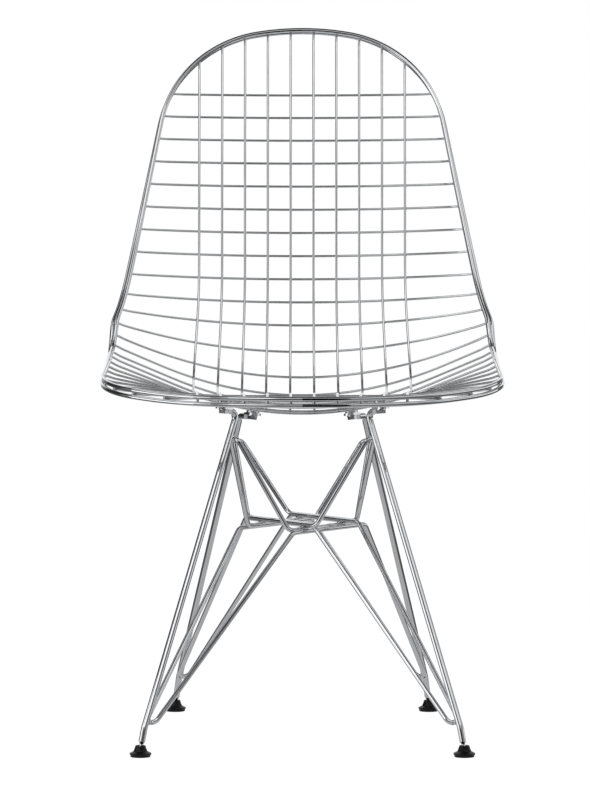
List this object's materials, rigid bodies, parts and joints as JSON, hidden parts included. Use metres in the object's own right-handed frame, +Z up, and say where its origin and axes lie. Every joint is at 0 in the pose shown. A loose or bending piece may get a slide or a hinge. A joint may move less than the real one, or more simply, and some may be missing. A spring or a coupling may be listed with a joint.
{
  "type": "wire mesh chair",
  "caption": "Dining chair with a welded steel mesh bucket seat, a double wire rim, bent rod legs, crossed rod bracing and self-levelling glides.",
  "frame": {"origin": "floor level, middle of the chair's width and depth", "axes": "+X to the sitter's left, +Y to the back of the chair, +Z up; the front faces -Y"},
  "size_m": [0.483, 0.5133, 0.8393],
  "materials": {
    "mesh_wire": "bright plating",
    "rim_wire": "bright plating",
    "base_rod": "bright plating",
    "hardware": "zinc plated",
    "glide": "moulded satin"
  },
  "bodies": {
    "chair": {"cross_wire_01": "mesh_wire", "cross_wire_02": "mesh_wire", "cross_wire_03": "mesh_wire", "cross_wire_04": "mesh_wire", "cross_wire_05": "mesh_wire", "cross_wire_06": "mesh_wire", "cross_wire_07": "mesh_wire", "cross_wire_08": "mesh_wire", "cross_wire_09": "mesh_wire", "cross_wire_10": "mesh_wire", "cross_wire_11": "mesh_wire", "cross_wire_12": "mesh_wire", "cross_wire_13": "mesh_wire", "cross_wire_14": "mesh_wire", "cross_wire_15": "mesh_wire", "cross_wire_16": "mesh_wire", "cross_wire_17": "mesh_wire", "cross_wire_18": "mesh_wire", "cross_wire_19": "mesh_wire", "cross_wire_20": "mesh_wire", "cross_wire_21": "mesh_wire", "cross_wire_22": "mesh_wire", "cross_wire_23": "mesh_wire", "cross_wire_24": "mesh_wire", "cross_wire_25": "mesh_wire", "long_wire_01": "mesh_wire", "long_wire_02": "mesh_wire", "long_wire_03": "mesh_wire", "long_wire_04": "mesh_wire", "long_wire_05": "mesh_wire", "long_wire_06": "mesh_wire", "long_wire_07": "mesh_wire", "long_wire_08": "mesh_wire", "long_wire_09": "mesh_wire", "long_wire_10": "mesh_wire", "rim_upper": "rim_wire", "rim_lower": "rim_wire", "leg_front_right": "base_rod", "leg_front_left": "base_rod", "leg_rear_right": "base_rod", "leg_rear_left": "base_rod", "brace_upper_a": "base_rod", "brace_upper_b": "base_rod", "brace_lower_a": "base_rod", "brace_lower_b": "base_rod", "mounting_bosses": "hardware", "bolt_washers": "hardware", "hex_bolts": "hardware"},
    "glide_body_front_right": {"glide_front_right": "glide"},
    "glide_body_front_left": {"glide_front_left": "glide"},
    "glide_body_rear_right": {"glide_rear_right": "glide"},
    "glide_body_rear_left": {"glide_rear_left": "glide"}
  },
  "joints": [
    {"name": "tilt_front_right", "type": "hinge", "parent": "chair", "child": "glide_body_front_right", "pos_m": [-0.1914, -0.2089, 0.0091], "axis": [1, 0, 0], "range_deg": [-8, 8]},
    {"name": "tilt_front_left", "type": "hinge", "parent": "chair", "child": "glide_body_front_left", "pos_m": [0.1914, -0.2089, 0.0091], "axis": [1, 0, 0], "range_deg": [-8, 8]},
    {"name": "tilt_rear_right", "type": "hinge", "parent": "chair", "child": "glide_body_rear_right", "pos_m": [-0.1562, 0.1931, 0.0091], "axis": [1, 0, 0], "range_deg": [-8, 8]},
    {"name": "tilt_rear_left", "type": "hinge", "parent": "chair", "child": "glide_body_rear_left", "pos_m": [0.1562, 0.1931, 0.0091], "axis": [1, 0, 0], "range_deg": [-8, 8]}
  ]
}
